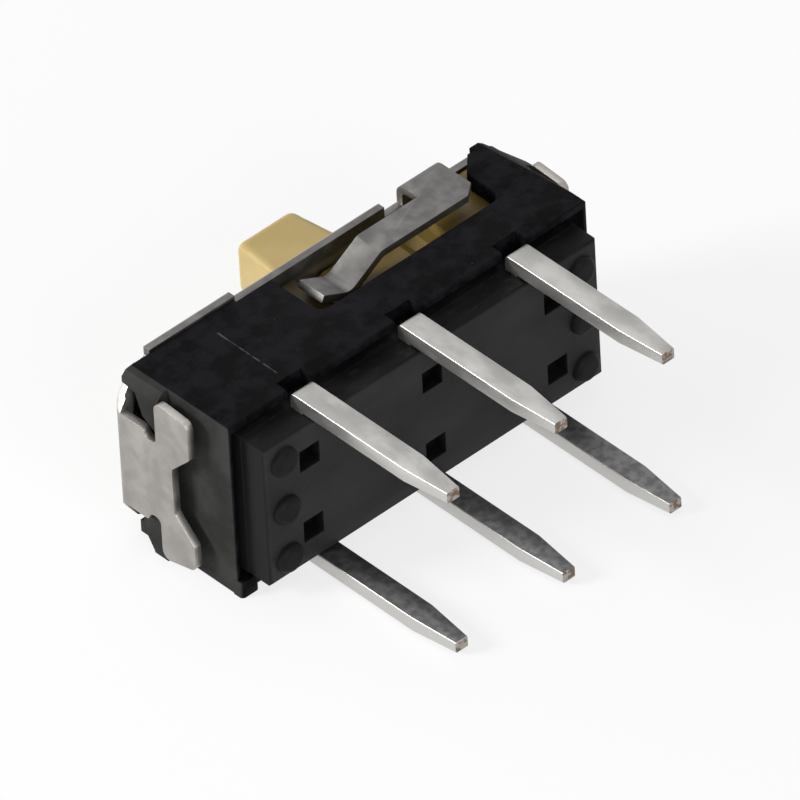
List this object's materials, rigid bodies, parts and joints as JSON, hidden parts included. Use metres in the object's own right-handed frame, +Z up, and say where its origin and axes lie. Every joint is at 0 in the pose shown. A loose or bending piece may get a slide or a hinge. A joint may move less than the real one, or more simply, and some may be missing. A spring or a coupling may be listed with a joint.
{
  "type": "slide switch",
  "caption": "Miniature slide switch for a circuit board: a moulded case with a folded metal cover and detent arm, a tapered slider knob at the front and two rows of flat pins at the back.",
  "frame": {"origin": "middle of the long side the switch lies on, halfway along the case and halfway through its depth", "axes": "+X along the slider's travel, +Y from the pins to the knob, +Z up across the two rows of pins"},
  "size_m": [0.0089, 0.0085, 0.0039],
  "materials": {
    "case_plastic": "fine matt moulding",
    "base_plastic": "fine matt moulding",
    "cover_steel": "dull tin plate",
    "slider_plastic": "satin moulding",
    "contact_bronze": "bright strip",
    "terminal_plate": "satin tin plate"
  },
  "bodies": {
    "housing": {"case": "case_plastic", "base": "base_plastic", "cover": "cover_steel", "terminal_upper_left": "terminal_plate", "terminal_upper_middle": "terminal_plate", "terminal_upper_right": "terminal_plate", "terminal_lower_left": "terminal_plate", "terminal_lower_middle": "terminal_plate", "terminal_lower_right": "terminal_plate"},
    "slide": {"slider": "slider_plastic", "moving_contact_upper": "contact_bronze", "moving_contact_lower": "contact_bronze"}
  },
  "joints": [
    {"name": "slider_travel", "type": "slide", "parent": "housing", "child": "slide", "axis": [1, 0, 0], "range_m": [-0.0018, 0]}
  ]
}
